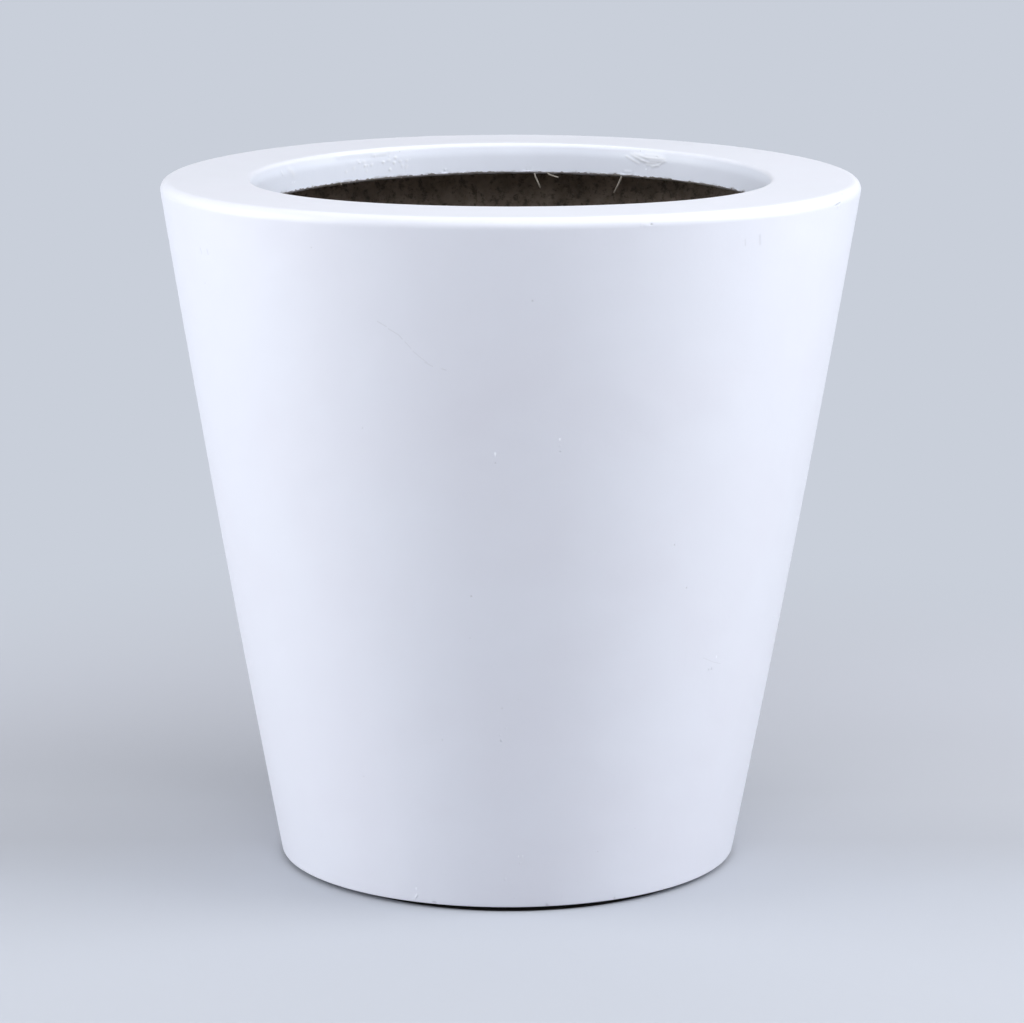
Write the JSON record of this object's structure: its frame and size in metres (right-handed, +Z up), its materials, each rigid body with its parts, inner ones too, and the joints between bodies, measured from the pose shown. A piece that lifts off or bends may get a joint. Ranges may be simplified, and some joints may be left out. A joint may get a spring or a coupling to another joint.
{
  "type": "round tapered planter",
  "caption": "Round tapered floor planter with a broad flat rim, a turned-down inner lip, a closed bottom with a stoppered drain, and rubber pads under its heel.",
  "frame": {"origin": "on the floor under the middle of the planter", "axes": "+Z up along the planter's axis; the picture looks along +Y, with +X to its right"},
  "size_m": [0.61, 0.61, 0.61],
  "materials": {
    "white_gelcoat": "satin-gloss white, sprayed and rubbed down",
    "raw_laminate": "raw glass-and-resin laminate, dark brown, rough",
    "glass_tape": "resin-soaked glass tape with loose strands",
    "stopper_rubber": "moulded black rubber",
    "pad_rubber": "moulded dark rubber"
  },
  "bodies": {
    "planter": {"finish_coat": "white_gelcoat", "wall_shell": "raw_laminate", "rim_ring": "raw_laminate", "rim_joint_tape": "glass_tape", "base_disc": "raw_laminate", "base_joint_tape": "glass_tape", "foot_pad_front_right": "pad_rubber", "foot_pad_back_right": "pad_rubber", "foot_pad_back_left": "pad_rubber", "foot_pad_front_left": "pad_rubber"},
    "stopper": {"drain_stopper": "stopper_rubber"}
  },
  "joints": [
    {"name": "stopper_lift", "type": "slide", "parent": "planter", "child": "stopper", "axis": [0, 0, 1], "range_m": [0, 0.63]}
  ]
}
